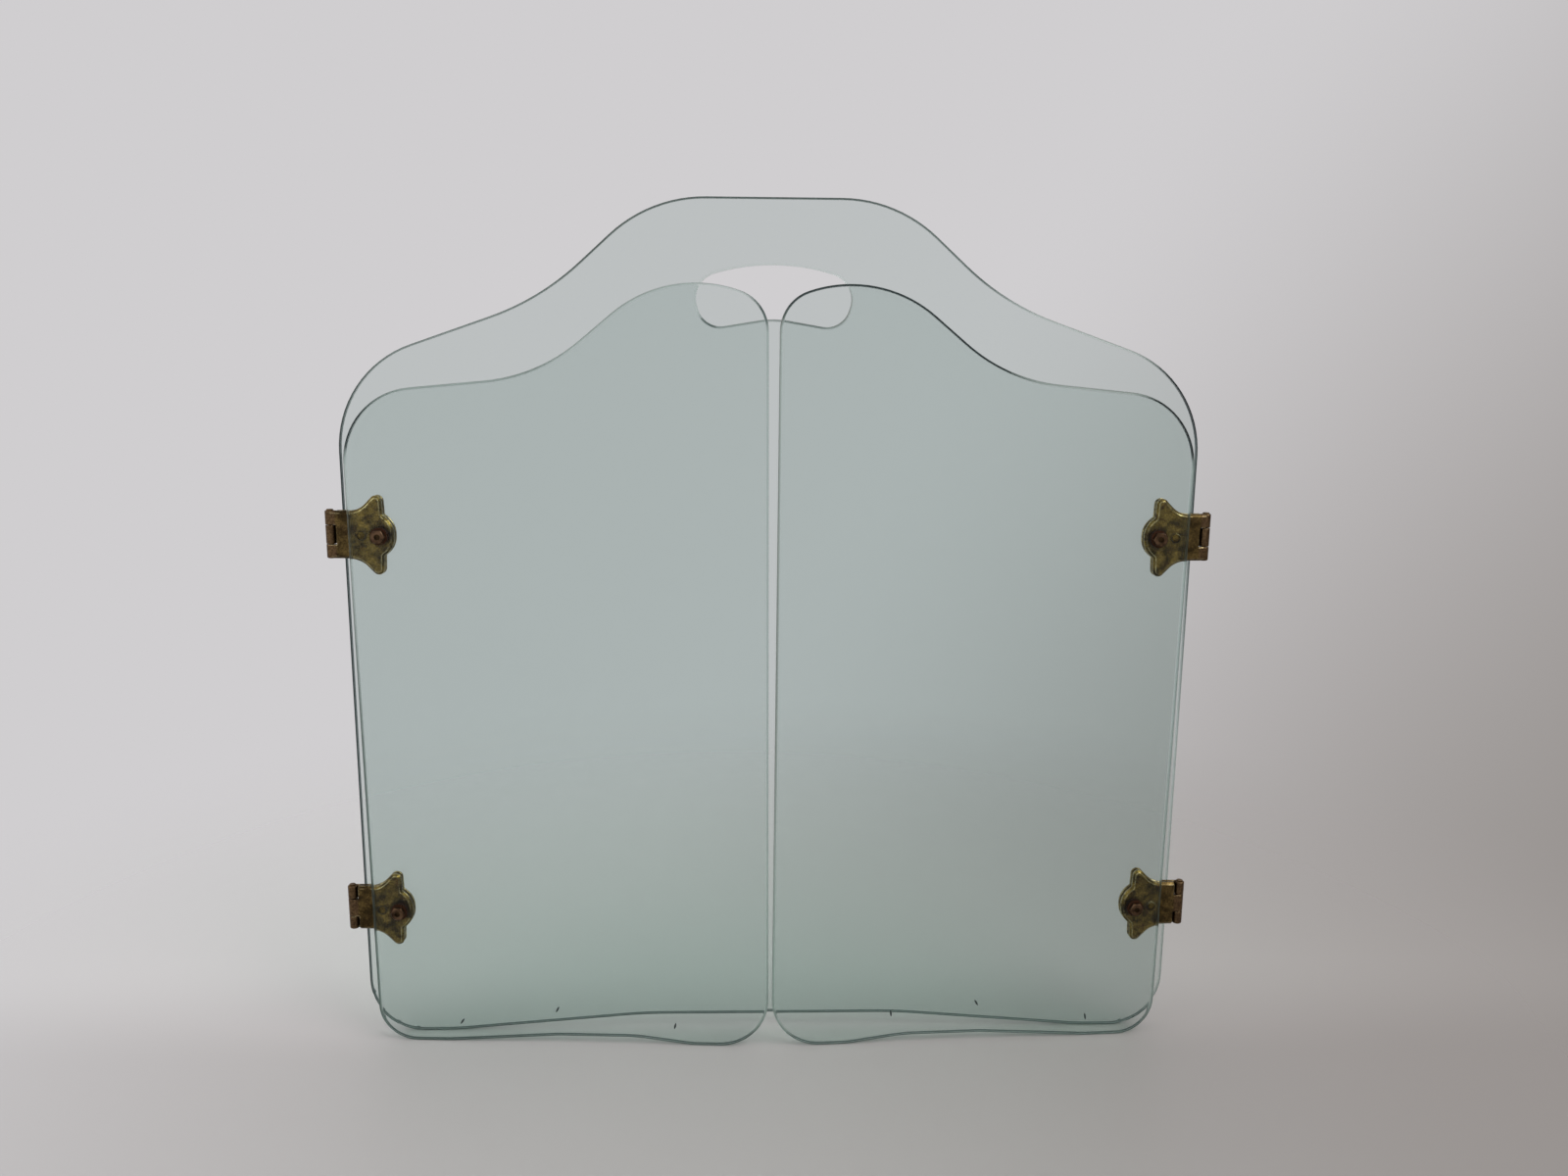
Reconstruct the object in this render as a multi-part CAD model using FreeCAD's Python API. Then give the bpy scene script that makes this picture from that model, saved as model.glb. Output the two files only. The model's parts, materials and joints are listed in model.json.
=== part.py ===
import FreeCAD, Part
import math
import os
from FreeCAD import Vector

# Folding glass fire screen: a wide centre pane with a hand hole, and two wings folded in front of it.
# X runs along the centre pane, the room side faces -Y and Z is up from the floor.
# The origin is on the floor, in the middle of the screen's width and depth. All sizes are millimetres.

# Glass
GLASS_T = 5.0
GLASS_EDGE_R = 2.1
GLASS_ROUND_PARTS = 4

# Centre pane: crown, hollow and shoulder are corners before rounding, measured from the middle and the top
CENTRE_W = 600.0
CENTRE_H = 609.0
CROWN_HALF_W = 83.5
CROWN_R = 98.0
HOLLOW_X = 159.0
HOLLOW_DROP = 68.0
HOLLOW_R = 182.0
SHOULDER_DROP = 117.5
SHOULDER_R = 78.0
CENTRE_FOOT_R = 40.0
CENTRE_FOOT_X = 236.0
CENTRE_FOOT_BLEND_R = 244.0
CENTRE_ARCH_X = 95.0
CENTRE_ARCH_RISE = 11.5
CENTRE_ARCH_R = 360.0

# Hand hole: outline corners before rounding, measured from the middle and from the top of the centre pane
HOLE_TOP_DROP = 39.0
HOLE_TOP_R = 140.0
HOLE_END_X = 58.0
HOLE_END_DROP = 55.4
HOLE_END_R = 17.5
HOLE_LOBE_X = 47.0
HOLE_LOBE_DROP = 87.6
HOLE_LOBE_R = 16.0
HOLE_DIP_DROP = 79.7
HOLE_DIP_R = 61.0

# Wing panes: the crown is measured from the inner edge and the top, the feet from the inner and outer edge,
# and the outer edge from the hinge axis
WING_H = 551.5
WING_GAP_TOP = 6.0
WING_GAP_BOTTOM = 0.8
WING_EDGE_TOP = 13.8
WING_EDGE_BOTTOM = 17.5
WING_INNER_DROP = 11.2
WING_INNER_R = 28.0
WING_CROWN_NEAR = 33.3
WING_CROWN_FAR = 80.3
WING_CROWN_R = 89.0
WING_HOLLOW_IN = 155.2
WING_HOLLOW_DROP = 61.7
WING_HOLLOW_R = 120.0
WING_SHOULDER_DROP = 74.8
WING_SHOULDER_R = 52.0
WING_OUTER_FOOT_R = 28.0
WING_OUTER_FOOT_X = 52.0
WING_ARCH_OUTER_X = 133.0
WING_ARCH_RISE = 5.5
WING_ARCH_INNER_IN = 98.0
WING_INNER_FOOT_IN = 56.0
WING_INNER_FOOT_R = 36.0
WING_ARCH_R = 146.0
WING_FOOT_BLEND_R = 70.0

# Hinges
HINGE_OUT = 7.0
UPPER_HINGE_Z = 379.7
LOWER_HINGE_Z = 102.3
REST_ANGLE = 3.0
BARREL_R = 3.4
BARREL_LENGTH = 33.5
BARREL_END_R = 1.0
MIDDLE_KNUCKLE = 12.8
KNUCKLE_GAP = 0.6
LEAF_TO_AXIS = 0.4
SLOT_CLEARANCE = 1.6

# Leaf outline: corners before rounding, measured from the hinge axis and from the leaf's middle line
FLARE_X = 21.0
FLARE_R = 17.0
EAR_X = 37.2
EAR_HALF_H = 33.4
EAR_R = 4.2
NOTCH_X = 38.0
NOTCH_HALF_H = 14.4
NOTCH_R = 1.0
LOBE_X = 45.4
LOBE_HALF_H = 8.2
LOBE_R = 15.0
LEAF_BEVEL = 1.7

# Stud that steadies the leaf on the glass
STUD_X = 23.0
STUD_R = 3.0

# Hinge pin
PIN_R = 1.6
PIN_HEAD_R = 2.3
PIN_HEAD_T = 0.8
PIN_TAIL_GAP = 0.2
PIN_FIXED_CLEARANCE = 0.02
PIN_RUNNING_CLEARANCE = 0.06

# Fixings
BOLT_X = 36.3
BOLT_R = 2.0
BOLT_HEAD_R = 4.0
BOLT_HEAD_CLEARANCE = 0.05
BOLT_SLOT_W = 1.0
BOLT_SLOT_DEPTH = 0.9
BOLT_END_DEPTH = 0.8
BOLT_CLEARANCE = 0.15
THREAD_CLEARANCE = 0.05
WASHER_R = 6.0
WASHER_T = 0.7
SLEEVE_WALL = 1.0
SLEEVE_CLEARANCE = 0.2
NUT_ACROSS_FLATS = 9.0
NUT_T = 3.0
NUT_CHAMFER = 0.9
HEX_SIDES = 6

# Worked out from the sizes above
GLASS_TO_AXIS = BARREL_R + WASHER_T
GLASS_FAR = GLASS_TO_AXIS + GLASS_T
NUT_SEAT = GLASS_FAR + WASHER_T
AXIS_X = CENTRE_W / 2 + HINGE_OUT
WING_TOP_IN = AXIS_X - WING_GAP_TOP / 2
WING_BOTTOM_IN = AXIS_X - WING_GAP_BOTTOM / 2
BACK_REACH = NUT_SEAT + NUT_T
REST = math.radians(REST_ANGLE)
FRONT_REACH = (
    (GLASS_FAR - GLASS_EDGE_R) * math.cos(REST)
    + (WING_BOTTOM_IN - GLASS_EDGE_R) * math.sin(REST)
    + GLASS_EDGE_R
)
AXIS_Y = (FRONT_REACH - BACK_REACH) / 2
ALONG_Y = Vector(0, 1, 0)
UPRIGHT = Vector(0, 0, 1)
TOUCHING = 0.001


def at(x, z, y=0.0):
    return Vector(x, y, z)


def arc_edges(start, middle, end, parts):
    """One round as a run of equal arcs, which lets a ground edge follow it closely."""
    curve = Part.Arc(start, middle, end)
    step = (curve.LastParameter - curve.FirstParameter) / (2 * parts)
    points = [curve.value(curve.FirstParameter + step * i) for i in range(2 * parts + 1)]
    return [Part.Arc(*points[i:i + 3]).toShape() for i in range(0, 2 * parts, 2)]


def rounded_wire(corners, parts=1):
    """Closed XZ outline from (x, z, radius) corners; a round is limited by the sides it joins."""
    points = [at(x, z) for x, z, radius in corners]
    count = len(points)
    sides = [points[(i + 1) % count] - points[i] for i in range(count)]
    halves = [sides[i].getAngle(-sides[i - 1]) / 2 for i in range(count)]
    reaches = [corners[i][2] / math.tan(halves[i]) for i in range(count)]
    limits = []
    for i, side in enumerate(sides):
        wanted = reaches[i] + reaches[(i + 1) % count]
        limits.append(side.Length / max(side.Length, wanted))
    edges = []
    rounds = []
    for i in range(count):
        reach = reaches[i] * min(limits[i - 1], limits[i])
        radius = reach * math.tan(halves[i])
        back = -sides[i - 1] / sides[i - 1].Length
        ahead = sides[i] / sides[i].Length
        inward = (back + ahead).normalize()
        middle = points[i] + inward * (radius / math.sin(halves[i]) - radius)
        rounds.append((points[i] + back * reach, middle, points[i] + ahead * reach))
    for i, (start, middle, end) in enumerate(rounds):
        following = rounds[(i + 1) % count][0]
        if start.distanceToPoint(end) > TOUCHING:
            edges.extend(arc_edges(start, middle, end, parts))
        if end.distanceToPoint(following) > TOUCHING:
            edges.append(Part.makeLine(end, following))
    return Part.Wire(edges)


def mirrored(half):
    """Full outline from its right half, listed from the top round to the bottom."""
    left = [(-x, z, radius) for x, z, radius in reversed(half) if x > 0]
    return half + left


def slab(wire, near, far):
    """Plate of one outline between two distances along Y."""
    plate = Part.Face(wire).extrude(ALONG_Y * (far - near))
    return plate.translated(ALONG_Y * near)


def rod(radius, near, far, x=0.0, z=0.0):
    """Round rod along Y."""
    return Part.makeCylinder(radius, far - near, at(x, z, near), ALONG_Y)


def edges_on(shape, y):
    """Edges that lie in one plane across Y."""
    return [edge for edge in shape.Edges if all(abs(vertex.Y - y) < TOUCHING for vertex in edge.Vertexes)]


def ground_pane(pane, near, far):
    """Round every edge of a pane, as ground and polished glass has."""
    return pane.makeFillet(GLASS_EDGE_R, edges_on(pane, near) + edges_on(pane, far))


def drilled(pane, near, far, x):
    """Holes for the fixings of the upper and the lower hinge."""
    hole_r = BOLT_R + BOLT_CLEARANCE + SLEEVE_WALL + SLEEVE_CLEARANCE
    for z in (UPPER_HINGE_Z, LOWER_HINGE_Z):
        pane = pane.cut(rod(hole_r, near - GLASS_T, far + GLASS_T, x, z))
    return pane


def centre_outline():
    half_w = CENTRE_W / 2
    return mirrored([
        (CROWN_HALF_W, CENTRE_H, CROWN_R),
        (HOLLOW_X, CENTRE_H - HOLLOW_DROP, HOLLOW_R),
        (half_w, CENTRE_H - SHOULDER_DROP, SHOULDER_R),
        (half_w, 0.0, CENTRE_FOOT_R),
        (CENTRE_FOOT_X, 0.0, CENTRE_FOOT_BLEND_R),
        (CENTRE_ARCH_X, CENTRE_ARCH_RISE, CENTRE_ARCH_R),
    ])


def hole_outline():
    return mirrored([
        (0.0, CENTRE_H - HOLE_TOP_DROP, HOLE_TOP_R),
        (HOLE_END_X, CENTRE_H - HOLE_END_DROP, HOLE_END_R),
        (HOLE_LOBE_X, CENTRE_H - HOLE_LOBE_DROP, HOLE_LOBE_R),
        (0.0, CENTRE_H - HOLE_DIP_DROP, HOLE_DIP_R),
    ])


def centre_pane():
    """Centre pane in the screen's own frame."""
    near = AXIS_Y + GLASS_TO_AXIS
    far = AXIS_Y + GLASS_FAR
    pane = slab(rounded_wire(centre_outline(), GLASS_ROUND_PARTS), near, far)
    pane = pane.cut(slab(rounded_wire(hole_outline(), GLASS_ROUND_PARTS), near, far))
    pane = ground_pane(pane, near, far)
    for side in (-1, 1):
        pane = drilled(pane, near, far, side * (AXIS_X - BOLT_X))
    return pane


def wing_outline():
    """Left wing's outline, X from the hinge axis, listed from the inner edge round to the outer edge."""
    return [
        (WING_TOP_IN, WING_H - WING_INNER_DROP, WING_INNER_R),
        (WING_BOTTOM_IN, 0.0, WING_INNER_FOOT_R),
        (WING_BOTTOM_IN - WING_INNER_FOOT_IN, 0.0, WING_FOOT_BLEND_R),
        (WING_BOTTOM_IN - WING_ARCH_INNER_IN, WING_ARCH_RISE, WING_ARCH_R),
        (WING_EDGE_BOTTOM + WING_ARCH_OUTER_X, WING_ARCH_RISE, WING_ARCH_R),
        (WING_EDGE_BOTTOM + WING_OUTER_FOOT_X, 0.0, WING_FOOT_BLEND_R),
        (WING_EDGE_BOTTOM, 0.0, WING_OUTER_FOOT_R),
        (WING_EDGE_TOP, WING_H - WING_SHOULDER_DROP, WING_SHOULDER_R),
        (WING_TOP_IN - WING_HOLLOW_IN, WING_H - WING_HOLLOW_DROP, WING_HOLLOW_R),
        (WING_TOP_IN - WING_CROWN_FAR, WING_H, WING_CROWN_R),
        (WING_TOP_IN - WING_CROWN_NEAR, WING_H, WING_CROWN_R),
    ]


def wing_pane():
    """Left wing with its hinge axis on Z, folded flat in front of the centre pane."""
    pane = slab(rounded_wire(wing_outline(), GLASS_ROUND_PARTS), -GLASS_FAR, -GLASS_TO_AXIS)
    pane = ground_pane(pane, -GLASS_FAR, -GLASS_TO_AXIS)
    return drilled(pane, -GLASS_FAR, -GLASS_TO_AXIS, BOLT_X)


def leaf_outline():
    neck = BARREL_LENGTH / 2
    upper = [
        (FLARE_X, neck, FLARE_R),
        (EAR_X, EAR_HALF_H, EAR_R),
        (NOTCH_X, NOTCH_HALF_H, NOTCH_R),
        (LOBE_X, LOBE_HALF_H, LOBE_R),
    ]
    lower = [(x, -z, radius) for x, z, radius in reversed(upper)]
    return [(0.0, neck, 0.0)] + upper + lower + [(0.0, -neck, 0.0)]


def knuckle(low, high):
    """Knuckle about the hinge axis, rounded where it ends the barrel."""
    body = Part.makeCylinder(BARREL_R, high - low, Vector(0, 0, low), UPRIGHT)
    barrel_end = BARREL_LENGTH / 2 - KNUCKLE_GAP / 2
    rims = [edge for edge in body.Edges if edge.isClosed() and abs(edge.Vertexes[0].Z) > barrel_end]
    return body.makeFillet(BARREL_END_R, rims) if rims else body


def leaf(forked):
    """Leaf with the hinge axis on Z, its glass side towards +Y; a forked leaf has the two end knuckles."""
    plate = slab(rounded_wire(leaf_outline()), LEAF_TO_AXIS, BARREL_R)
    rim = [edge for edge in edges_on(plate, BARREL_R) if edge.BoundBox.XMax > LEAF_TO_AXIS]
    plate = plate.makeChamfer(LEAF_BEVEL, rim)
    end = BARREL_LENGTH / 2
    middle = MIDDLE_KNUCKLE / 2
    fork = middle + KNUCKLE_GAP
    spans = [(-end, -fork), (fork, end)] if forked else [(-middle, middle)]
    slots = [(-fork, fork)] if forked else [(-end, -middle), (middle, end)]
    slot_reach = BARREL_R + SLOT_CLEARANCE
    for low, high in slots:
        plate = plate.cut(Part.makeBox(slot_reach, BARREL_R, high - low, Vector(0, 0, low)))
    body = plate.fuse([knuckle(low, high) for low, high in spans])
    body = body.fuse(rod(STUD_R, LEAF_TO_AXIS, GLASS_TO_AXIS, STUD_X))
    clearance = PIN_FIXED_CLEARANCE if forked else PIN_RUNNING_CLEARANCE
    body = body.cut(Part.makeCylinder(PIN_R + clearance, BARREL_LENGTH, Vector(0, 0, -end), UPRIGHT))
    body = body.cut(rod(BOLT_R + BOLT_CLEARANCE, LEAF_TO_AXIS, BARREL_R, BOLT_X))
    return body.cut(countersink(BOLT_HEAD_CLEARANCE)).removeSplitter()


def countersink(clearance):
    """Cone of the bolt's head, from the leaf's inner face inwards."""
    face = at(BOLT_X, 0.0, LEAF_TO_AXIS)
    depth = BOLT_HEAD_R - BOLT_R
    return Part.makeCone(BOLT_HEAD_R + clearance, BOLT_R + clearance, depth, face, ALONG_Y)


def hinge_pin():
    end = BARREL_LENGTH / 2
    shank = Part.makeCylinder(PIN_R, BARREL_LENGTH - PIN_TAIL_GAP, Vector(0, 0, PIN_TAIL_GAP - end), UPRIGHT)
    head = Part.makeCylinder(PIN_HEAD_R, PIN_HEAD_T, Vector(0, 0, end), UPRIGHT)
    crown = [edge for edge in head.Edges if edge.isClosed() and edge.Vertexes[0].Z > end + PIN_HEAD_T / 2]
    return shank.fuse(head.makeFillet(PIN_HEAD_T / 2, crown)).removeSplitter()


def bolt():
    end = NUT_SEAT + NUT_T - BOLT_END_DEPTH
    body = countersink(0.0).fuse(rod(BOLT_R, LEAF_TO_AXIS, end, BOLT_X)).removeSplitter()
    corner = at(BOLT_X - BOLT_HEAD_R, -BOLT_SLOT_W / 2, LEAF_TO_AXIS)
    return body.cut(Part.makeBox(2 * BOLT_HEAD_R, BOLT_SLOT_DEPTH, BOLT_SLOT_W, corner))


def ring(radius, bore, near, far):
    """Ring round the bolt."""
    return rod(radius, near, far, BOLT_X).cut(rod(bore, near, far, BOLT_X))


def nut():
    corner_r = NUT_ACROSS_FLATS / 2 / math.cos(math.pi / HEX_SIDES)
    turns = [2 * math.pi * i / HEX_SIDES for i in range(HEX_SIDES + 1)]
    corners = [at(BOLT_X + corner_r * math.cos(turn), corner_r * math.sin(turn)) for turn in turns]
    prism = slab(Part.makePolygon(corners), NUT_SEAT, NUT_SEAT + NUT_T)
    blank = rod(corner_r, NUT_SEAT, NUT_SEAT + NUT_T, BOLT_X)
    blank = blank.makeChamfer(NUT_CHAMFER, edges_on(blank, NUT_SEAT + NUT_T))
    return prism.common(blank).cut(rod(BOLT_R + THREAD_CLEARANCE, NUT_SEAT, NUT_SEAT + NUT_T, BOLT_X))


def fixings():
    """Pieces that clamp one leaf to its pane, in the leaf's own frame."""
    bore = BOLT_R + BOLT_CLEARANCE
    return {
        "bolt": bolt(),
        "inner_washer": ring(WASHER_R, bore, BARREL_R, GLASS_TO_AXIS),
        "sleeve": ring(bore + SLEEVE_WALL, bore, GLASS_TO_AXIS, GLASS_FAR),
        "outer_washer": ring(WASHER_R, bore, GLASS_FAR, NUT_SEAT),
        "nut": nut(),
    }


def on_centre(shape, z):
    """From a hinge's own frame to the centre pane's left edge."""
    return shape.translated(Vector(-AXIS_X, AXIS_Y, z))


def on_wing(shape, z):
    """From a hinge's own frame to the left wing, at its resting angle."""
    return on_centre(shape.rotated(Vector(), UPRIGHT, -REST_ANGLE), z)


def facing(shape):
    """A leaf and its fixings turned over, to lie on the pane across the hinge."""
    return shape.rotated(Vector(), Vector(1, 0, 0), 180)


def left_pieces():
    """Left wing and its two hinges; the upper fork is on the wing and the lower fork on the centre pane."""
    pieces = {"{side}_wing_panel": on_wing(wing_pane(), 0.0)}
    for level, z, wing_forked in (("upper", UPPER_HINGE_Z, True), ("lower", LOWER_HINGE_Z, False)):
        hinge = level + "_{side}_"
        pieces[hinge + "wing_leaf"] = on_wing(facing(leaf(wing_forked)), z)
        pieces[hinge + "centre_leaf"] = on_centre(leaf(not wing_forked), z)
        pieces[hinge + "hinge_pin"] = on_wing(hinge_pin(), z) if wing_forked else on_centre(hinge_pin(), z)
        for name, shape in fixings().items():
            pieces[hinge + "wing_" + name] = on_wing(facing(shape), z)
            pieces[hinge + "centre_" + name] = on_centre(shape, z)
    return pieces


os.makedirs("parts", exist_ok=True)
centre_pane().exportStep("parts/centre_panel.step")
for name, shape in left_pieces().items():
    shape.exportStep("parts/" + name.format(side="left") + ".step")
    shape.mirror(Vector(), Vector(1, 0, 0)).exportStep("parts/" + name.format(side="right") + ".step")
print("hinge axes at x = +/-%.3f, y = %.3f" % (AXIS_X, AXIS_Y))
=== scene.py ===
"""Looks of the folding glass fire screen: pale green plate glass on four aged brass hinges.

Lengths are metres.
"""

import json
import math

import bmesh
import bpy
from mathutils import Matrix, Vector


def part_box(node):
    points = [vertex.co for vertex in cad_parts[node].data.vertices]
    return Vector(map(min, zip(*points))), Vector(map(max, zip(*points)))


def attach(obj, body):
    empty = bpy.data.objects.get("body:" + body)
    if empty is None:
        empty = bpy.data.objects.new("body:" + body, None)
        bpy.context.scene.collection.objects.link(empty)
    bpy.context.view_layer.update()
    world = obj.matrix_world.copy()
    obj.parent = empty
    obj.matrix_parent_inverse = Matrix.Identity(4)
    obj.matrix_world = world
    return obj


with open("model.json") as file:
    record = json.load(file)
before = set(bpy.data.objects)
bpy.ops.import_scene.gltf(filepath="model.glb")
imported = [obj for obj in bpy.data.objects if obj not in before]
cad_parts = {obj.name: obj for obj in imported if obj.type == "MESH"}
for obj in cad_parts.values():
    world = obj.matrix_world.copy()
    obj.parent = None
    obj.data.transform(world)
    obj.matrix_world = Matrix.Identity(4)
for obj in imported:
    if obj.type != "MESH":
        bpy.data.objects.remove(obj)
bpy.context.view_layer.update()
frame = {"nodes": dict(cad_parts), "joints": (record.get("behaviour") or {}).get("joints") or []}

MM = 0.001


def node_middle(node):
    """Middle of a CAD node's box."""
    low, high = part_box(node)
    return (low + high) / 2


# Places and sizes read from the frame; a wing's front face comes level with the centre pane's back when the
# wing is opened out
PANE_FRONT, PANE_BACK = (corner.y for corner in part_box("centre_panel"))
PANE_THICKNESS = PANE_BACK - PANE_FRONT
WING_HINGE = frame["joints"][0]
AXIS_OUT = abs(WING_HINGE["pos_m"][0])
AXIS_DEPTH = WING_HINGE["pos_m"][1]
REST_ANGLE = -math.radians(WING_HINGE["range_deg"][0])
WING_FACE = PANE_BACK - AXIS_DEPTH
BOLT_IN = AXIS_OUT - abs(node_middle("upper_left_centre_nut").x)
UPPER_HINGE = node_middle("upper_left_wing_nut").z
LOWER_HINGE = node_middle("lower_left_wing_nut").z

# Camera, placed to the screen as in the photograph: a little lower than the hand hole, and tilted down
CAMERA_PLACE = Vector((-0.0195, -0.8796, 0.5166))
CAMERA_YAW = math.radians(1.81)
CAMERA_PITCH = math.radians(11.14)
CAMERA_ROLL = math.radians(0.47)
CAMERA_LENS = 29.25
CAMERA_SENSOR = 36.0
CAMERA_NEAR = 10 * MM

# Stage: a pale floor that fades into a paler surround, both dimmer to the right, under two soft lamps; on
# the floor the dimming is painted shade, and its paler part behind the screen is painted light
FLOOR_RADIUS = 3.0
FLOOR_SIDES = 96
FLOOR_FADE_FROM = 0.22
FLOOR_FADE_TO = 0.95
# The floor's painted shade towards the right, and its painted light behind the screen
FLOOR_DIM_FROM = -0.25
FLOOR_DIM_TO = 0.6
FLOOR_BACK_FROM = -0.04
FLOOR_BACK_TO = 0.12
SURROUND_FALL = Vector((0.8, 0.0, -0.55))
SURROUND_PALE = 0.12
SURROUND_DIM = 0.7
LAMP_AIM = Vector((0.0, 0.0, 0.3))

# Glass: the share of red, green and blue light that one pane lets through, and a density of absorption that
# keeps its colour between 0 and 1
GLASS_IOR = 1.52
PANE_PASSES = (0.865, 0.908, 0.893)
ABSORPTION_DENSITY = 100.0

# Where the ground edge starts, by how squarely the glass faces front or back: 1 on its flat faces and 0 on
# its rim
EDGE_STARTS = 0.99
EDGE_FULL = 0.93
GRINDING_STARTS = 0.999
GRINDING_FULL = 0.975

# The ground edge's roughness where its tone is dark and where it is pale
DARK_EDGE = 0.1
PALE_EDGE = 0.6
DARK_ROUGHNESS = 0.55
PALE_ROUGHNESS = 0.3

# Heights between which the edge's painted tones change, the crown's measured down from the pane's top, and
# the box round the hand hole
EDGE_LOW = 220 * MM
EDGE_HIGH = 400 * MM
CROWN_STARTS = 60 * MM
CROWN_FULL = 44 * MM
HOLE_REACH = 100 * MM
HOLE_FROM = 400 * MM
HOLE_TO = 585 * MM

# Tones of the ground edges low on a pane, high on it, on its crown and round the hand hole, by the
# direction that the edge faces in degrees, with 0 to the right and 90 up: slate green with painted
# reflection and shade, darker or paler where each edge takes darker or paler light from the room
CENTRE_EDGES = {
    "low": (
        (-180, "#2c3839"), (-130, "#3c4846"), (-50, "#3c4846"), (-10, "#c0ccc7"), (10, "#c0ccc7"),
        (180, "#2c3839"),
    ),
    "high": (
        (-180, "#222c2d"), (-90, "#3c4846"), (-8, "#46534f"), (6, "#2c3839"), (16, "#0c1214"),
        (44, "#141b1d"), (52, "#54625f"), (64, "#b4c0bb"), (72, "#d6e2dd"), (80, "#d6e2dd"),
        (100, "#8c9995"), (125, "#7c8a85"), (150, "#54625f"), (180, "#222c2d"),
    ),
    "crown": (
        (-180, "#2c3839"), (0, "#54625f"), (40, "#66746f"), (60, "#66746f"), (90, "#54625f"),
        (120, "#66746f"), (180, "#3c4846"),
    ),
    "hole": (
        (-180, "#f4faf8"), (20, "#eef4f1"), (45, "#5c6a67"), (70, "#46534f"), (92, "#a4b0ac"),
        (130, "#c0ccc7"), (160, "#f4faf8"), (180, "#f4faf8"),
    ),
}
LEFT_WING_EDGES = {
    "low": (
        (-180, "#7c8a85"), (-130, "#3c4846"), (-50, "#3c4846"), (-15, "#c9d6d1"), (10, "#c9d6d1"),
        (180, "#7c8a85"),
    ),
    "high": (
        (-180, "#eef4f1"), (-90, "#3c4846"), (-15, "#d6e2dd"), (60, "#c9d6d1"), (100, "#b4c0bb"),
        (125, "#8c9995"), (140, "#222c2d"), (166, "#2c3839"), (176, "#d6e2dd"), (180, "#eef4f1"),
    ),
    "crown": (
        (-180, "#c9d6d1"), (2, "#c9d6d1"), (14, "#54625f"), (34, "#3c4846"), (52, "#8c9995"),
        (75, "#e0eae6"), (150, "#e0eae6"), (180, "#c9d6d1"),
    ),
}
RIGHT_WING_EDGES = {
    "low": (
        (-180, "#c9d6d1"), (-150, "#c9d6d1"), (-125, "#3c4846"), (-50, "#3c4846"), (-10, "#c0ccc7"),
        (10, "#c0ccc7"), (180, "#c9d6d1"),
    ),
    "high": (
        (-180, "#d6e2dd"), (-90, "#3c4846"), (-8, "#c0ccc7"), (2, "#c0ccc7"), (9, "#0c1214"),
        (46, "#0c1214"), (62, "#1a2224"), (74, "#b4c0bb"), (82, "#e0eae6"), (90, "#e0eae6"),
        (125, "#54625f"), (150, "#b4c0bb"), (180, "#d6e2dd"),
    ),
    "crown": (
        (-180, "#d6e2dd"), (0, "#54625f"), (40, "#141b1d"), (80, "#222c2d"), (140, "#2c3839"),
        (156, "#66746f"), (170, "#c0ccc7"), (180, "#d6e2dd"),
    ),
}

# Hinge leaves: the stud, the neck and the knuckles by their distance in from the hinge axis, and painted
# shade by its distance from the fixing's middle and from the stud's rim
STUD_IN = 23 * MM
STUD_RADIUS = 3 * MM
NECK_ENDS = 21 * MM
NECK_FULL = 12 * MM
NECK_TARNISH = 0.65
KNUCKLE_ENDS = 5 * MM
KNUCKLE_FULL = 3.5 * MM
FIXING_SHADE_ENDS = 9.5 * MM
FIXING_SHADE_FULL = 6.2 * MM
STUD_SHADE_ENDS = 1.4 * MM
STUD_SHADE_FULL = 0.3 * MM

# The leaves' brass: the sizes of its wiped patches and its stains, and the radius of its worn rims
PATCH_SIZE = 8 * MM
STAIN_SIZE = 6 * MM
RIM_RADIUS = 1.3 * MM

# Casting: the sand's grain in the brass, drawn about four times as coarse as it is so that it shows
SAND_GRAIN = 1.1 * MM
SAND_DEPTH = 0.15 * MM

# Turning: the tool's feed, drawn about three times as coarse as it is so that it shows, the length of one
# ring of the wave texture at a scale of 1, the grooves' depth and the size of the tarnish's blotches
TOOL_FEED = 0.35 * MM
WAVE_LENGTH = math.pi / 10
GROOVE_DEPTH = 0.05 * MM
BLOTCH_SIZE = 4 * MM

# Fibre washers: clumps of pulp in the sheet
PULP_CLUMP = 1.2 * MM
PULP_DEPTH = 0.1 * MM

# Tong marks: bruises left where the hot wings were gripped while they were toughened, each as its distance
# in from the hinge axis, its height and its lean towards the inner edge, with the crest's share of the
# base, how pointed the ends are, and the grain of the crushed glass
TONG_MARKS = {
    "left": (
        (79.6 * MM, 16.5 * MM, math.radians(34)),
        (150.7 * MM, 27.4 * MM, math.radians(26)),
        (237.7 * MM, 15.8 * MM, math.radians(13)),
    ),
    "right": (
        (69.8 * MM, 15.9 * MM, math.radians(10)),
        (153.7 * MM, 30.4 * MM, math.radians(30)),
        (217.9 * MM, 24.1 * MM, math.radians(6)),
    ),
}
TONG_LENGTH = 5.4 * MM
TONG_WIDTH = 1.4 * MM
TONG_RISE = 0.15 * MM
TONG_LIFT = 0.02 * MM
TONG_CREST = 0.6
TONG_POINT = 0.5
TONG_SIDES = 16
CRUSH_GRAIN = 0.6 * MM
CRUSH_DEPTH = 0.1 * MM


def linear(hex_colour):
    """Linear RGBA of an sRGB hex colour."""
    channels = [int(hex_colour[i:i + 2], 16) / 255 for i in (1, 3, 5)]
    return [c / 12.92 if c <= 0.04045 else ((c + 0.055) / 1.055) ** 2.4 for c in channels] + [1.0]


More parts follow.
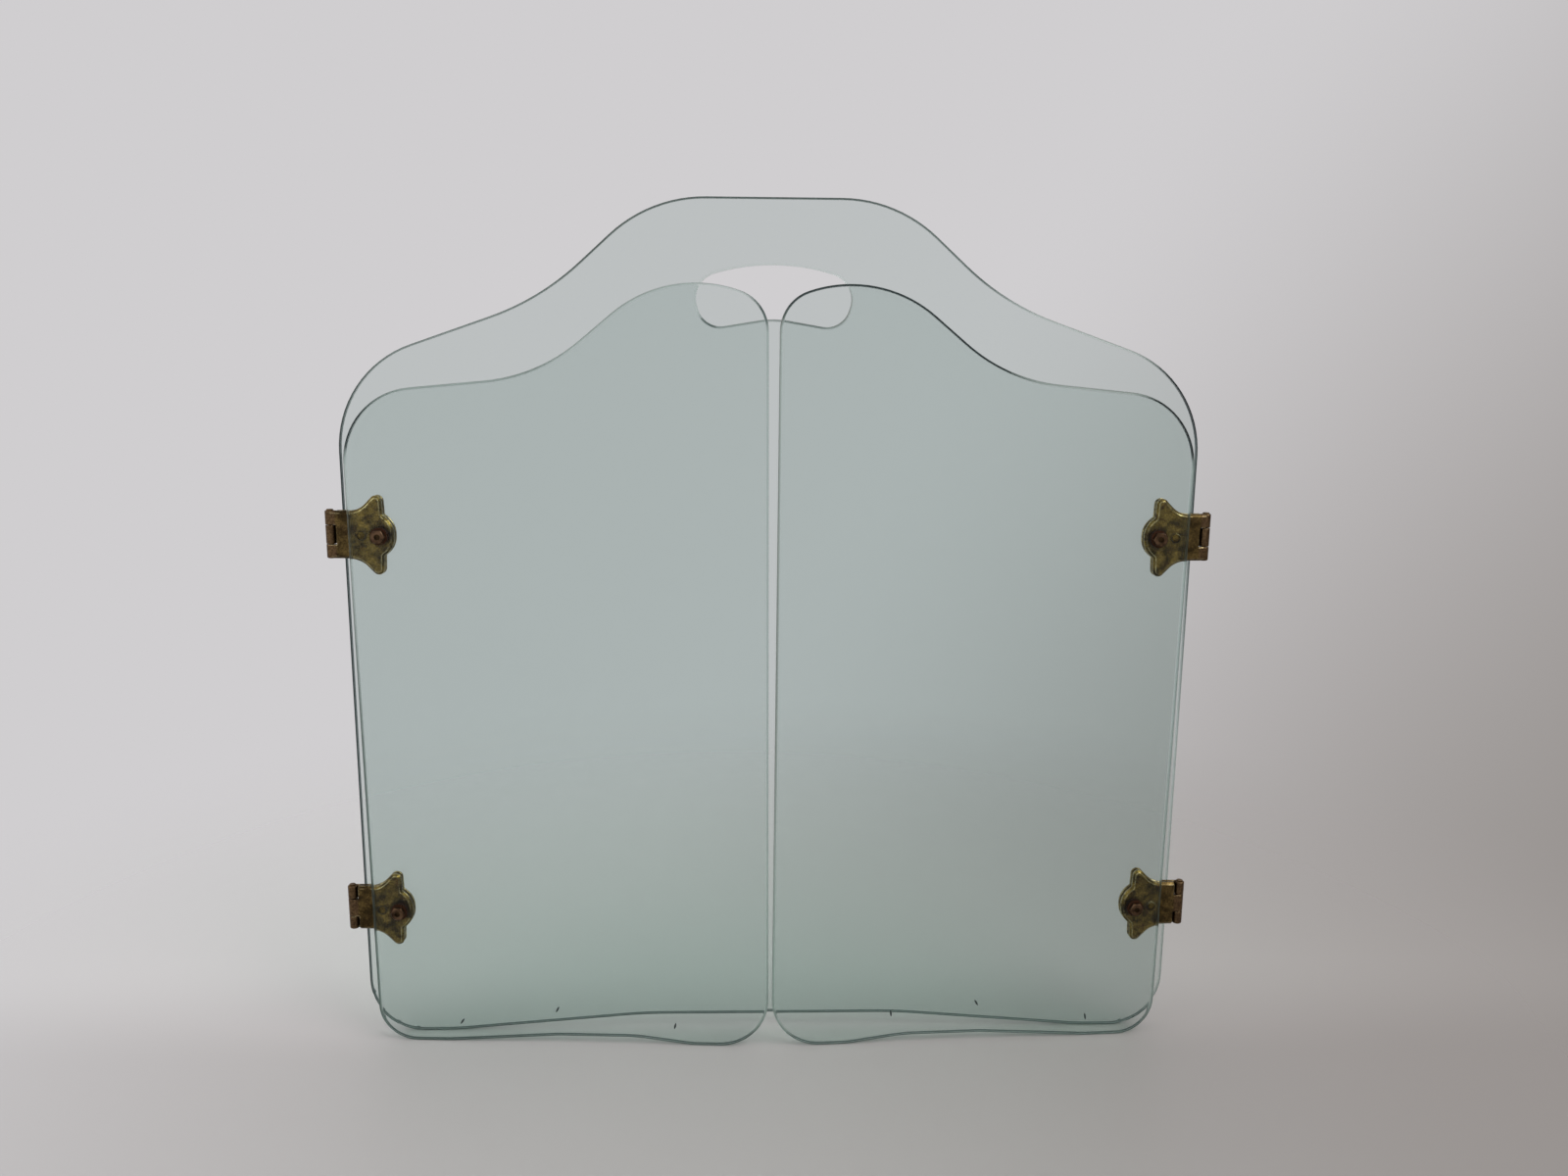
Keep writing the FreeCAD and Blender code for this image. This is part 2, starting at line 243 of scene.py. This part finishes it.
def add_node(tree, kind, inputs, **settings):
    """Adds a shader node; an input is a plain value, or another node's output to link."""
    node = tree.nodes.new("ShaderNode" + kind)
    for name, value in settings.items():
        setattr(node, name, value)
    for name, value in inputs.items():
        if isinstance(value, bpy.types.NodeSocket):
            tree.links.new(value, node.inputs[name])
        else:
            node.inputs[name].default_value = value
    return node.outputs


def new_material(name):
    """A material with an empty node tree."""
    material = bpy.data.materials.new(name)
    material.use_nodes = True
    material.node_tree.nodes.clear()
    return material, material.node_tree


def edge_direction(tree, facing):
    """Direction that a pane's edge faces, in radians, also where it is seen from inside the glass."""
    inside = add_node(tree, "NewGeometry", {})["Backfacing"]
    turn = add_node(tree, "Math", {0: inside, 1: -2.0, 2: 1.0}, operation="MULTIPLY_ADD")
    up = add_node(tree, "Math", {0: facing["Z"], 1: turn[0]}, operation="MULTIPLY")
    right = add_node(tree, "Math", {0: facing["X"], 1: turn[0]}, operation="MULTIPLY")
    return add_node(tree, "Math", {0: up[0], 1: right[0]}, operation="ARCTAN2")[0]


def direction_tint(tree, direction, tints):
    """Colour that goes round with a direction, given as (degrees, colour) from -180 to 180."""
    share = add_node(tree, "MapRange", {"Value": direction, "From Min": -math.pi, "From Max": math.pi})
    colour = add_node(tree, "ValToRGB", {"Fac": share[0]})["Color"]
    stops = colour.node.color_ramp.elements
    for degrees, tint in tints[1:-1]:
        stops.new((degrees + 180) / 360).color = linear(tint)
    stops[0].color = linear(tints[0][1])
    stops[-1].color = linear(tints[-1][1])
    return colour


def beside_hole(tree, here):
    """1 in the box round the hand hole, and 0 elsewhere."""
    off_middle = add_node(tree, "Math", {0: here["X"]}, operation="ABSOLUTE")
    near = add_node(tree, "Math", {0: off_middle[0], 1: HOLE_REACH}, operation="LESS_THAN")
    over = add_node(tree, "Math", {0: here["Z"], 1: HOLE_FROM}, operation="GREATER_THAN")
    under = add_node(tree, "Math", {0: here["Z"], 1: HOLE_TO}, operation="LESS_THAN")
    level = add_node(tree, "Math", {0: over[0], 1: under[0]}, operation="MULTIPLY")
    return add_node(tree, "Math", {0: near[0], 1: level[0]}, operation="MULTIPLY")[0]


def edge_tint(tree, facing, here, top, tints):
    """Colour of a pane's ground edge: slate green, and nearly clear round the hand hole, where it was
    polished, with painted reflection and shade that make it darker or paler with the way it faces and with
    its height."""
    direction = edge_direction(tree, facing)
    height = add_node(tree, "MapRange", {
        "Value": here["Z"], "From Min": EDGE_LOW, "From Max": EDGE_HIGH,
    })
    sides = add_node(tree, "Mix", {
        "Factor": height[0],
        "A": direction_tint(tree, direction, tints["low"]),
        "B": direction_tint(tree, direction, tints["high"]),
    }, data_type="RGBA")
    crown = add_node(tree, "MapRange", {
        "Value": here["Z"], "From Min": top - CROWN_STARTS, "From Max": top - CROWN_FULL,
    })
    outer = add_node(tree, "Mix", {
        "Factor": crown[0], "A": sides[2], "B": direction_tint(tree, direction, tints["crown"]),
    }, data_type="RGBA")
    if "hole" not in tints:
        return outer[2]
    return add_node(tree, "Mix", {
        "Factor": beside_hole(tree, here),
        "A": outer[2],
        "B": direction_tint(tree, direction, tints["hole"]),
    }, data_type="RGBA")[2]


def plate_glass(name, pane, tints):
    """Soda-lime plate glass, polished flat: clear with the green of iron in it, and slate green along the
    edge, which is ground and so scatters the light, with painted reflection and shade in the edge's tone
    and gloss.
    Lamplight goes straight through, so that the panes cast the pale shadow of clear glass."""
    material, tree = new_material(name)
    own = add_node(tree, "TexCoord", {})
    facing = add_node(tree, "SeparateXYZ", {"Vector": own["Normal"]})
    here = add_node(tree, "SeparateXYZ", {"Vector": own["Object"]})
    flatness = add_node(tree, "Math", {0: facing["Y"]}, operation="ABSOLUTE")
    edge = add_node(tree, "MapRange", {
        "Value": flatness[0], "From Min": EDGE_STARTS, "From Max": EDGE_FULL,
    }, interpolation_type="SMOOTHSTEP")
    # The edge's tone, painted darker or paler by its direction and height as reflection and shade from the
    # room
    ground = edge_tint(tree, facing, here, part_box(pane)[1].z, tints)
    tint = add_node(tree, "Mix", {
        "Factor": edge[0], "A": linear("#f6f8f8"), "B": ground,
    }, data_type="RGBA")
    # The edge's gloss takes the same painted tone, so that its dark parts mirror little and its pale parts
    # more: painted reflection and shade
    mirroring = add_node(tree, "Mix", {
        "Factor": edge[0], "A": linear("#959595"), "B": ground,
    }, data_type="RGBA")
    paleness = add_node(tree, "RGBToBW", {"Color": ground})
    polish = add_node(tree, "MapRange", {
        "Value": paleness[0], "From Min": DARK_EDGE, "From Max": PALE_EDGE,
        "To Min": DARK_ROUGHNESS, "To Max": PALE_ROUGHNESS,
    })
    grinding = add_node(tree, "MapRange", {
        "Value": flatness[0], "From Min": GRINDING_STARTS, "From Max": GRINDING_FULL, "To Max": polish[0],
    })
    glass = add_node(tree, "BsdfPrincipled", {
        "Base Color": tint[2], "Roughness": grinding[0], "IOR": GLASS_IOR, "Specular Tint": mirroring[2],
        "Transmission Weight": 1.0,
    })
    shade = add_node(tree, "Mix", {
        "Factor": edge[0], "A": linear("#fbfcfb"), "B": linear("#8c9895"),
    }, data_type="RGBA")
    passing = add_node(tree, "BsdfTransparent", {"Color": shade[2]})
    path = add_node(tree, "LightPath", {})
    surface = add_node(tree, "MixShader", {0: path["Is Shadow Ray"], 1: glass[0], 2: passing[0]})
    taken = [-math.log(share) / PANE_THICKNESS / ABSORPTION_DENSITY for share in PANE_PASSES]
    depth = add_node(tree, "VolumeAbsorption", {
        "Color": [1 - t for t in taken] + [1.0], "Density": ABSORPTION_DENSITY,
    })
    add_node(tree, "OutputMaterial", {"Surface": surface[0], "Volume": depth[0]})
    return material


def pinched_glass():
    """Glass bruised by the tongs that held it while it was toughened: dull grey-green, with no shine."""
    material, tree = new_material("pinched glass")
    own = add_node(tree, "TexCoord", {})
    crush = add_node(tree, "TexNoise", {"Vector": own["Object"], "Scale": 1 / CRUSH_GRAIN, "Detail": 3.0})
    colour = add_node(tree, "Mix", {
        "Factor": crush["Fac"], "A": linear("#14191a"), "B": linear("#323b3a"),
    }, data_type="RGBA")
    rough = add_node(tree, "Bump", {"Height": crush["Fac"], "Strength": 0.5, "Distance": CRUSH_DEPTH})
    bruise = add_node(tree, "BsdfPrincipled", {
        "Base Color": colour[2], "Roughness": 0.55, "Normal": rough[0],
    })
    add_node(tree, "OutputMaterial", {"Surface": bruise[0]})
    return material


def leaf_place(tree, point):
    """Place on a hinge leaf: X in from the hinge axis, Y up or down from the leaf's middle line."""
    halfway = (UPPER_HINGE + LOWER_HINGE) / 2
    here = add_node(tree, "SeparateXYZ", {"Vector": point})
    reach = add_node(tree, "Math", {0: here["X"]}, operation="ABSOLUTE")
    inward = add_node(tree, "Math", {0: AXIS_OUT, 1: reach[0]}, operation="SUBTRACT")
    above = add_node(tree, "Math", {0: here["Z"], 1: halfway}, operation="SUBTRACT")
    level = add_node(tree, "Math", {0: above[0]}, operation="ABSOLUTE")
    along = add_node(tree, "Math", {0: level[0], 1: UPPER_HINGE - halfway}, operation="SUBTRACT")
    return inward[0], add_node(tree, "CombineXYZ", {"X": inward[0], "Y": along[0]})[0]


def leaf_tarnish(tree, inward, patches, stains):
    """Colour of a leaf's tarnish, and how far the neck's brown has taken over."""
    gold = add_node(tree, "MapRange", {"Value": patches, "From Min": 0.4, "From Max": 0.6})
    wiped = add_node(tree, "Mix", {
        "Factor": gold[0], "A": linear("#423518"), "B": linear("#92773a"),
    }, data_type="RGBA")
    stain = add_node(tree, "MapRange", {
        "Value": stains, "From Min": 0.54, "From Max": 0.68, "To Max": 0.8,
    })
    stained = add_node(tree, "Mix", {
        "Factor": stain[0], "A": wiped[2], "B": linear("#50371d"),
    }, data_type="RGBA")
    neck = add_node(tree, "MapRange", {
        "Value": inward, "From Min": NECK_ENDS, "From Max": NECK_FULL, "To Max": 0.8,
    })
    brown = add_node(tree, "Mix", {
        "Factor": gold[0], "A": linear("#3a2f1e"), "B": linear("#5f5034"),
    }, data_type="RGBA")
    browned = add_node(tree, "Mix", {
        "Factor": neck[0], "A": stained[2], "B": brown[2],
    }, data_type="RGBA")
    knuckle = add_node(tree, "MapRange", {
        "Value": inward, "From Min": KNUCKLE_ENDS, "From Max": KNUCKLE_FULL, "To Max": 0.65,
    })
    reddened = add_node(tree, "Mix", {
        "Factor": knuckle[0], "A": browned[2], "B": linear("#66503c"),
    }, data_type="RGBA")
    return reddened[2], neck[0]


def leaf_painted_shade(tree, place):
    """How much painted shade darkens a leaf: round the fixing, and along the stud's rim."""
    # Painted shade round the fixing, where the washers and the nut stand on the leaf
    from_bolt = add_node(tree, "VectorMath", {0: place, 1: (BOLT_IN, 0.0, 0.0)}, operation="DISTANCE")
    fixing_shade = add_node(tree, "MapRange", {
        "Value": from_bolt["Value"], "From Min": FIXING_SHADE_ENDS, "From Max": FIXING_SHADE_FULL, "To Max": 0.75,
    })
    # Painted shade along the stud's rim, where the stud stands out of the leaf
    from_stud = add_node(tree, "VectorMath", {0: place, 1: (STUD_IN, 0.0, 0.0)}, operation="DISTANCE")
    from_rim = add_node(tree, "Math", {0: from_stud["Value"], 1: STUD_RADIUS}, operation="SUBTRACT")
    rim_gap = add_node(tree, "Math", {0: from_rim[0]}, operation="ABSOLUTE")
    ring = add_node(tree, "MapRange", {
        "Value": rim_gap[0], "From Min": STUD_SHADE_ENDS, "From Max": STUD_SHADE_FULL, "To Max": 0.65,
    })
    return add_node(tree, "Math", {0: fixing_shade[0], 1: ring[0]}, operation="MAXIMUM")[0]


def leaf_wear(tree, stains, painted_shade, neck):
    """Rounded normal of a leaf, where its rims are, and how bare they are rubbed where hands reach them."""
    rounded = add_node(tree, "Bevel", {"Radius": RIM_RADIUS}, samples=8)
    sharp = add_node(tree, "NewGeometry", {})
    agreement = add_node(tree, "VectorMath", {0: rounded[0], 1: sharp["Normal"]}, operation="DOT_PRODUCT")
    rim = add_node(tree, "MapRange", {"Value": agreement["Value"], "From Min": 0.997, "From Max": 0.95})
    handled = add_node(tree, "MapRange", {
        "Value": stains, "From Min": 0.58, "From Max": 0.42, "To Min": 0.2, "To Max": 0.9,
    })
    tarnish = add_node(tree, "Math", {0: neck, 1: NECK_TARNISH}, operation="MULTIPLY")
    # No rubbed rims under the painted shade or in the neck's tarnish
    tarnish_and_shade = add_node(tree, "Math", {0: painted_shade, 1: tarnish[0]}, operation="MAXIMUM")
    bare = add_node(tree, "Math", {0: handled[0], 1: tarnish_and_shade[0]}, operation="SUBTRACT", use_clamp=True)
    worn = add_node(tree, "Math", {0: rim[0], 1: bare[0]}, operation="MULTIPLY")
    return rounded[0], rim[0], worn[0]


def cast_leaf_brass():
    """Cast brass long out of polish: wiped olive and gold on its face, brown at the neck, redder on the
    knuckles, darkened with painted shade round the stud and the fixing, and rubbed bright along its rims."""
    material, tree = new_material("aged cast brass")
    own = add_node(tree, "TexCoord", {})
    inward, place = leaf_place(tree, own["Object"])
    patches = add_node(tree, "TexNoise", {
        "Vector": own["Object"], "Scale": 1 / PATCH_SIZE, "Detail": 6.0, "Roughness": 0.65,
    })
    stains = add_node(tree, "TexNoise", {
        "Vector": own["Object"], "Scale": 1 / STAIN_SIZE, "Detail": 4.0, "Roughness": 0.6,
        "Distortion": 0.8,
    })
    sand = add_node(tree, "TexNoise", {"Vector": own["Object"], "Scale": 1 / SAND_GRAIN, "Detail": 3.0})
    tarnished, neck = leaf_tarnish(tree, inward, patches["Fac"], stains["Fac"])
    painted_shade = leaf_painted_shade(tree, place)
    rounded, rim, worn = leaf_wear(tree, stains["Fac"], painted_shade, neck)
    # Painted shade: the leaf darkened round the fixing and along the stud's rim
    shade_darkened = add_node(tree, "Mix", {
        "Factor": painted_shade, "A": tarnished, "B": linear("#221709"),
    }, data_type="RGBA")
    grain = add_node(tree, "MapRange", {
        "Value": sand["Fac"], "From Min": 0.35, "From Max": 0.65, "To Min": 0.55, "To Max": 1.25,
    })
    grained = add_node(tree, "VectorMath", {0: shade_darkened[2], "Scale": grain[0]}, operation="SCALE")
    colour = add_node(tree, "Mix", {
        "Factor": worn, "A": grained[0], "B": linear("#ecd9a4"),
    }, data_type="RGBA")
    dulled = add_node(tree, "MapRange", {
        "Value": patches["Fac"], "From Min": 0.3, "From Max": 0.7, "To Min": 0.5, "To Max": 0.34,
    })
    rubbed = add_node(tree, "Mix", {"Factor": rim, "A": dulled[0], "B": 0.15})
    pits = add_node(tree, "Bump", {
        "Height": sand["Fac"], "Strength": 0.4, "Distance": SAND_DEPTH, "Normal": rounded,
    })
    brass = add_node(tree, "BsdfPrincipled", {
        "Base Color": colour[2], "Metallic": 1.0, "Roughness": rubbed[0], "Normal": pits[0],
    })
    add_node(tree, "OutputMaterial", {"Surface": brass[0]})
    return material


def turned_brass(name, piece, axis, dull, bright):
    """Brass bar turned on a lathe, tarnished since: fine rings, under blotches of brown."""
    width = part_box(piece)[1].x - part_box(piece)[0].x
    material, tree = new_material(name)
    own = add_node(tree, "TexCoord", {})
    centred = add_node(tree, "VectorMath", {
        0: own["Generated"], 1: (0.5, 0.5, 0.5),
    }, operation="SUBTRACT")
    rings = add_node(tree, "TexWave", {
        "Vector": centred[0], "Scale": WAVE_LENGTH * width / TOOL_FEED, "Distortion": 1.5, "Detail": 2.0,
    }, wave_type="RINGS", rings_direction=axis)
    blotches = add_node(tree, "TexNoise", {
        "Vector": own["Object"], "Scale": 1 / BLOTCH_SIZE, "Detail": 4.0,
    })
    share = add_node(tree, "MapRange", {"Value": blotches["Fac"], "From Min": 0.35, "From Max": 0.7})
    colour = add_node(tree, "Mix", {
        "Factor": share[0], "A": linear(dull), "B": linear(bright),
    }, data_type="RGBA")
    polish = add_node(tree, "MapRange", {"Value": blotches["Fac"], "To Min": 0.5, "To Max": 0.3})
    grooves = add_node(tree, "Bump", {"Height": rings["Fac"], "Strength": 0.25, "Distance": GROOVE_DEPTH})
    brass = add_node(tree, "BsdfPrincipled", {
        "Base Color": colour[2], "Metallic": 1.0, "Roughness": polish[0], "Normal": grooves[0],
    })
    add_node(tree, "OutputMaterial", {"Surface": brass[0]})
    return material


def vulcanised_fibre():
    """Red vulcanised fibre, stamped into washers and also used for the sleeves: dark, dry and faintly
    mottled."""
    material, tree = new_material("stamped vulcanised fibre")
    own = add_node(tree, "TexCoord", {})
    mottle = add_node(tree, "TexNoise", {"Vector": own["Object"], "Scale": 1 / PULP_CLUMP, "Detail": 4.0})
    colour = add_node(tree, "Mix", {
        "Factor": mottle["Fac"], "A": linear("#22120a"), "B": linear("#45260f"),
    }, data_type="RGBA")
    felt = add_node(tree, "Bump", {"Height": mottle["Fac"], "Strength": 0.3, "Distance": PULP_DEPTH})
    fibre = add_node(tree, "BsdfPrincipled", {
        "Base Color": colour[2], "Roughness": 0.7, "Specular IOR Level": 0.15, "Normal": felt[0],
    })
    add_node(tree, "OutputMaterial", {"Surface": fibre[0]})
    return material


def pale_floor():
    """Matt paint on a smooth floor, with painted shade that makes it dimmer to the right and painted light
    that makes it paler at the back; it fades out with distance so that no far edge shows."""
    material, tree = new_material("pale painted floor")
    own = add_node(tree, "TexCoord", {})
    here = add_node(tree, "SeparateXYZ", {"Vector": own["Object"]})
    # Painted shade: darker towards the right
    dim = add_node(tree, "MapRange", {
        "Value": here["X"], "From Min": FLOOR_DIM_FROM, "From Max": FLOOR_DIM_TO,
    }, interpolation_type="SMOOTHSTEP")
    front = add_node(tree, "Mix", {
        "Factor": dim[0], "A": linear("#bebbb9"), "B": linear("#96918d"),
    }, data_type="RGBA")
    back = add_node(tree, "Mix", {
        "Factor": dim[0], "A": linear("#dedcda"), "B": linear("#aca8a4"),
    }, data_type="RGBA")
    # Painted light: paler behind the screen
    behind = add_node(tree, "MapRange", {
        "Value": here["Y"], "From Min": FLOOR_BACK_FROM, "From Max": FLOOR_BACK_TO,
    }, interpolation_type="SMOOTHSTEP")
    colour = add_node(tree, "Mix", {
        "Factor": behind[0], "A": front[2], "B": back[2],
    }, data_type="RGBA")
    paint = add_node(tree, "BsdfPrincipled", {"Base Color": colour[2], "Roughness": 0.45})
    open_air = add_node(tree, "BsdfTransparent", {})
    distance = add_node(tree, "VectorMath", {0: own["Object"]}, operation="LENGTH")
    gone = add_node(tree, "MapRange", {
        "Value": distance["Value"], "From Min": FLOOR_FADE_FROM, "From Max": FLOOR_FADE_TO,
    }, interpolation_type="SMOOTHSTEP")
    surface = add_node(tree, "MixShader", {0: gone[0], 1: paint[0], 2: open_air[0]})
    add_node(tree, "OutputMaterial", {"Surface": surface[0]})
    return material


def named(ending):
    """Names of the CAD nodes with this ending."""
    return [name for name in frame["nodes"] if name.endswith(ending)]


def dress(nodes, material):
    """Gives CAD nodes one material."""
    for name in nodes:
        for slot in frame["nodes"][name].material_slots:
            slot.material = material


def tong_mark(marks, middle, along, across, out):
    """One bruise on a pane's face: a low lens with pointed ends."""
    rings = []
    for share, height in ((1.0, TONG_LIFT), (TONG_CREST, TONG_LIFT + TONG_RISE)):
        ring = []
        for i in range(TONG_SIDES):
            turn = 2 * math.pi * i / TONG_SIDES
            tip = math.cos(turn)
            bulge = math.sin(turn) * abs(math.sin(turn)) ** TONG_POINT
            offset = along * (tip * TONG_LENGTH / 2) + across * (bulge * TONG_WIDTH / 2)
            ring.append(marks.verts.new(middle + offset * share + out * height))
        rings.append(ring)
    base, crest = rings
    for i in range(TONG_SIDES):
        following = (i + 1) % TONG_SIDES
        marks.faces.new((base[i], base[following], crest[following], crest[i]))
    marks.faces.new(base)
    marks.faces.new(crest)


def mark_wing(side, sign, material):
    """The three tong marks near one wing's bottom edge, on its front face."""
    inward = Vector((-sign * math.cos(REST_ANGLE), -math.sin(REST_ANGLE), 0.0))
    out = Vector((sign * math.sin(REST_ANGLE), -math.cos(REST_ANGLE), 0.0))
    axis = Vector((sign * AXIS_OUT, AXIS_DEPTH, 0.0))
    upright = Vector((0.0, 0.0, 1.0))
    marks = bmesh.new()
    for reach, height, lean in TONG_MARKS[side]:
        middle = axis + inward * reach + out * WING_FACE + upright * height
        along = upright * math.cos(lean) + inward * math.sin(lean)
        tong_mark(marks, middle, along, along.cross(out), out)
    bmesh.ops.recalc_face_normals(marks, faces=marks.faces)
    mesh = bpy.data.meshes.new(side + "_wing_tong_marks")
    marks.to_mesh(mesh)
    marks.free()
    mesh.materials.append(material)
    piece = bpy.data.objects.new(side + "_wing_tong_marks", mesh)
    bpy.context.scene.collection.objects.link(piece)
    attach(piece, side + "_wing")


def lay_floor():
    """A wide disc that the screen stands on."""
    mesh = bpy.data.meshes.new("floor")
    disc = bmesh.new()
    bmesh.ops.create_circle(disc, cap_ends=True, segments=FLOOR_SIDES, radius=FLOOR_RADIUS)
    disc.to_mesh(mesh)
    disc.free()
    mesh.materials.append(pale_floor())
    floor = bpy.data.objects.new("floor", mesh)
    bpy.context.scene.collection.objects.link(floor)


def light_surround():
    """A soft surround, darker low on the right, which is also the pale backdrop."""
    world = bpy.data.worlds.new("surround")
    bpy.context.scene.world = world
    world.use_nodes = True
    tree = world.node_tree
    tree.nodes.clear()
    direction = add_node(tree, "TexCoord", {})
    across = add_node(tree, "VectorMath", {
        0: direction["Generated"], 1: SURROUND_FALL,
    }, operation="DOT_PRODUCT")
    fall = add_node(tree, "MapRange", {
        "Value": across["Value"], "From Min": SURROUND_PALE, "From Max": SURROUND_DIM,
    }, interpolation_type="SMOOTHSTEP")
    colour = add_node(tree, "Mix", {
        "Factor": fall[0], "A": linear("#d0ced0"), "B": linear("#96918e"),
    }, data_type="RGBA")
    sky = add_node(tree, "Background", {"Color": colour[2], "Strength": 1.0})
    add_node(tree, "OutputWorld", {"Surface": sky[0]})


def hang_lamp(name, place, width, height, power):
    """A soft rectangular lamp that points at the screen."""
    lamp = bpy.data.lights.new(name, "AREA")
    lamp.shape = "RECTANGLE"
    lamp.size = width
    lamp.size_y = height
    lamp.energy = power
    holder = bpy.data.objects.new(name, lamp)
    holder.location = place
    holder.rotation_mode = "QUATERNION"
    holder.rotation_quaternion = (LAMP_AIM - Vector(place)).to_track_quat("-Z", "Y")
    bpy.context.scene.collection.objects.link(holder)


def set_camera():
    """The camera, turned to the right by its yaw, down by its pitch and over by its roll."""
    forward = Vector((
        math.sin(CAMERA_YAW) * math.cos(CAMERA_PITCH),
        math.cos(CAMERA_YAW) * math.cos(CAMERA_PITCH),
        -math.sin(CAMERA_PITCH),
    ))
    level = Vector((math.cos(CAMERA_YAW), -math.sin(CAMERA_YAW), 0.0))
    rise = level.cross(forward)
    right = math.cos(CAMERA_ROLL) * level + math.sin(CAMERA_ROLL) * rise
    up = math.cos(CAMERA_ROLL) * rise - math.sin(CAMERA_ROLL) * level
    camera = bpy.data.cameras.new("camera")
    camera.lens = CAMERA_LENS
    camera.sensor_width = CAMERA_SENSOR
    camera.clip_start = CAMERA_NEAR
    holder = bpy.data.objects.new("camera", camera)
    turned = Matrix((right, up, -forward)).transposed().to_4x4()
    holder.matrix_world = Matrix.Translation(CAMERA_PLACE) @ turned
    bpy.context.scene.collection.objects.link(holder)
    bpy.context.scene.camera = holder


set_camera()
lay_floor()
light_surround()
hang_lamp("window", place=(1.5, -1.1, 1.9), width=1.6, height=1.3, power=26.0)
hang_lamp("fill", place=(-1.6, -1.0, 1.1), width=1.2, height=1.2, power=6.0)

for pane, glass_name, edge_tints in (
    ("centre_panel", "polished plate glass", CENTRE_EDGES),
    ("left_wing_panel", "toughened plate glass, left", LEFT_WING_EDGES),
    ("right_wing_panel", "toughened plate glass, right", RIGHT_WING_EDGES),
):
    dress([pane], plate_glass(glass_name, pane, edge_tints))
dress(named("_leaf"), cast_leaf_brass())
for ending, brass_name, axis, dull, bright in (
    ("_nut", "tarnished turned brass", "Y", "#32251a", "#705843"),
    ("_bolt", "dull turned brass", "Y", "#221a12", "#4a3a24"),
    ("_hinge_pin", "browned turned brass", "Z", "#41301f", "#6f5732"),
):
    pieces = named(ending)
    dress(pieces, turned_brass(brass_name, pieces[0], axis, dull, bright))
dress(named("_washer") + named("_sleeve"), vulcanised_fibre())

bruised = pinched_glass()
mark_wing("left", -1, bruised)
mark_wing("right", 1, bruised)

bpy.context.scene.view_settings.view_transform = "Standard"
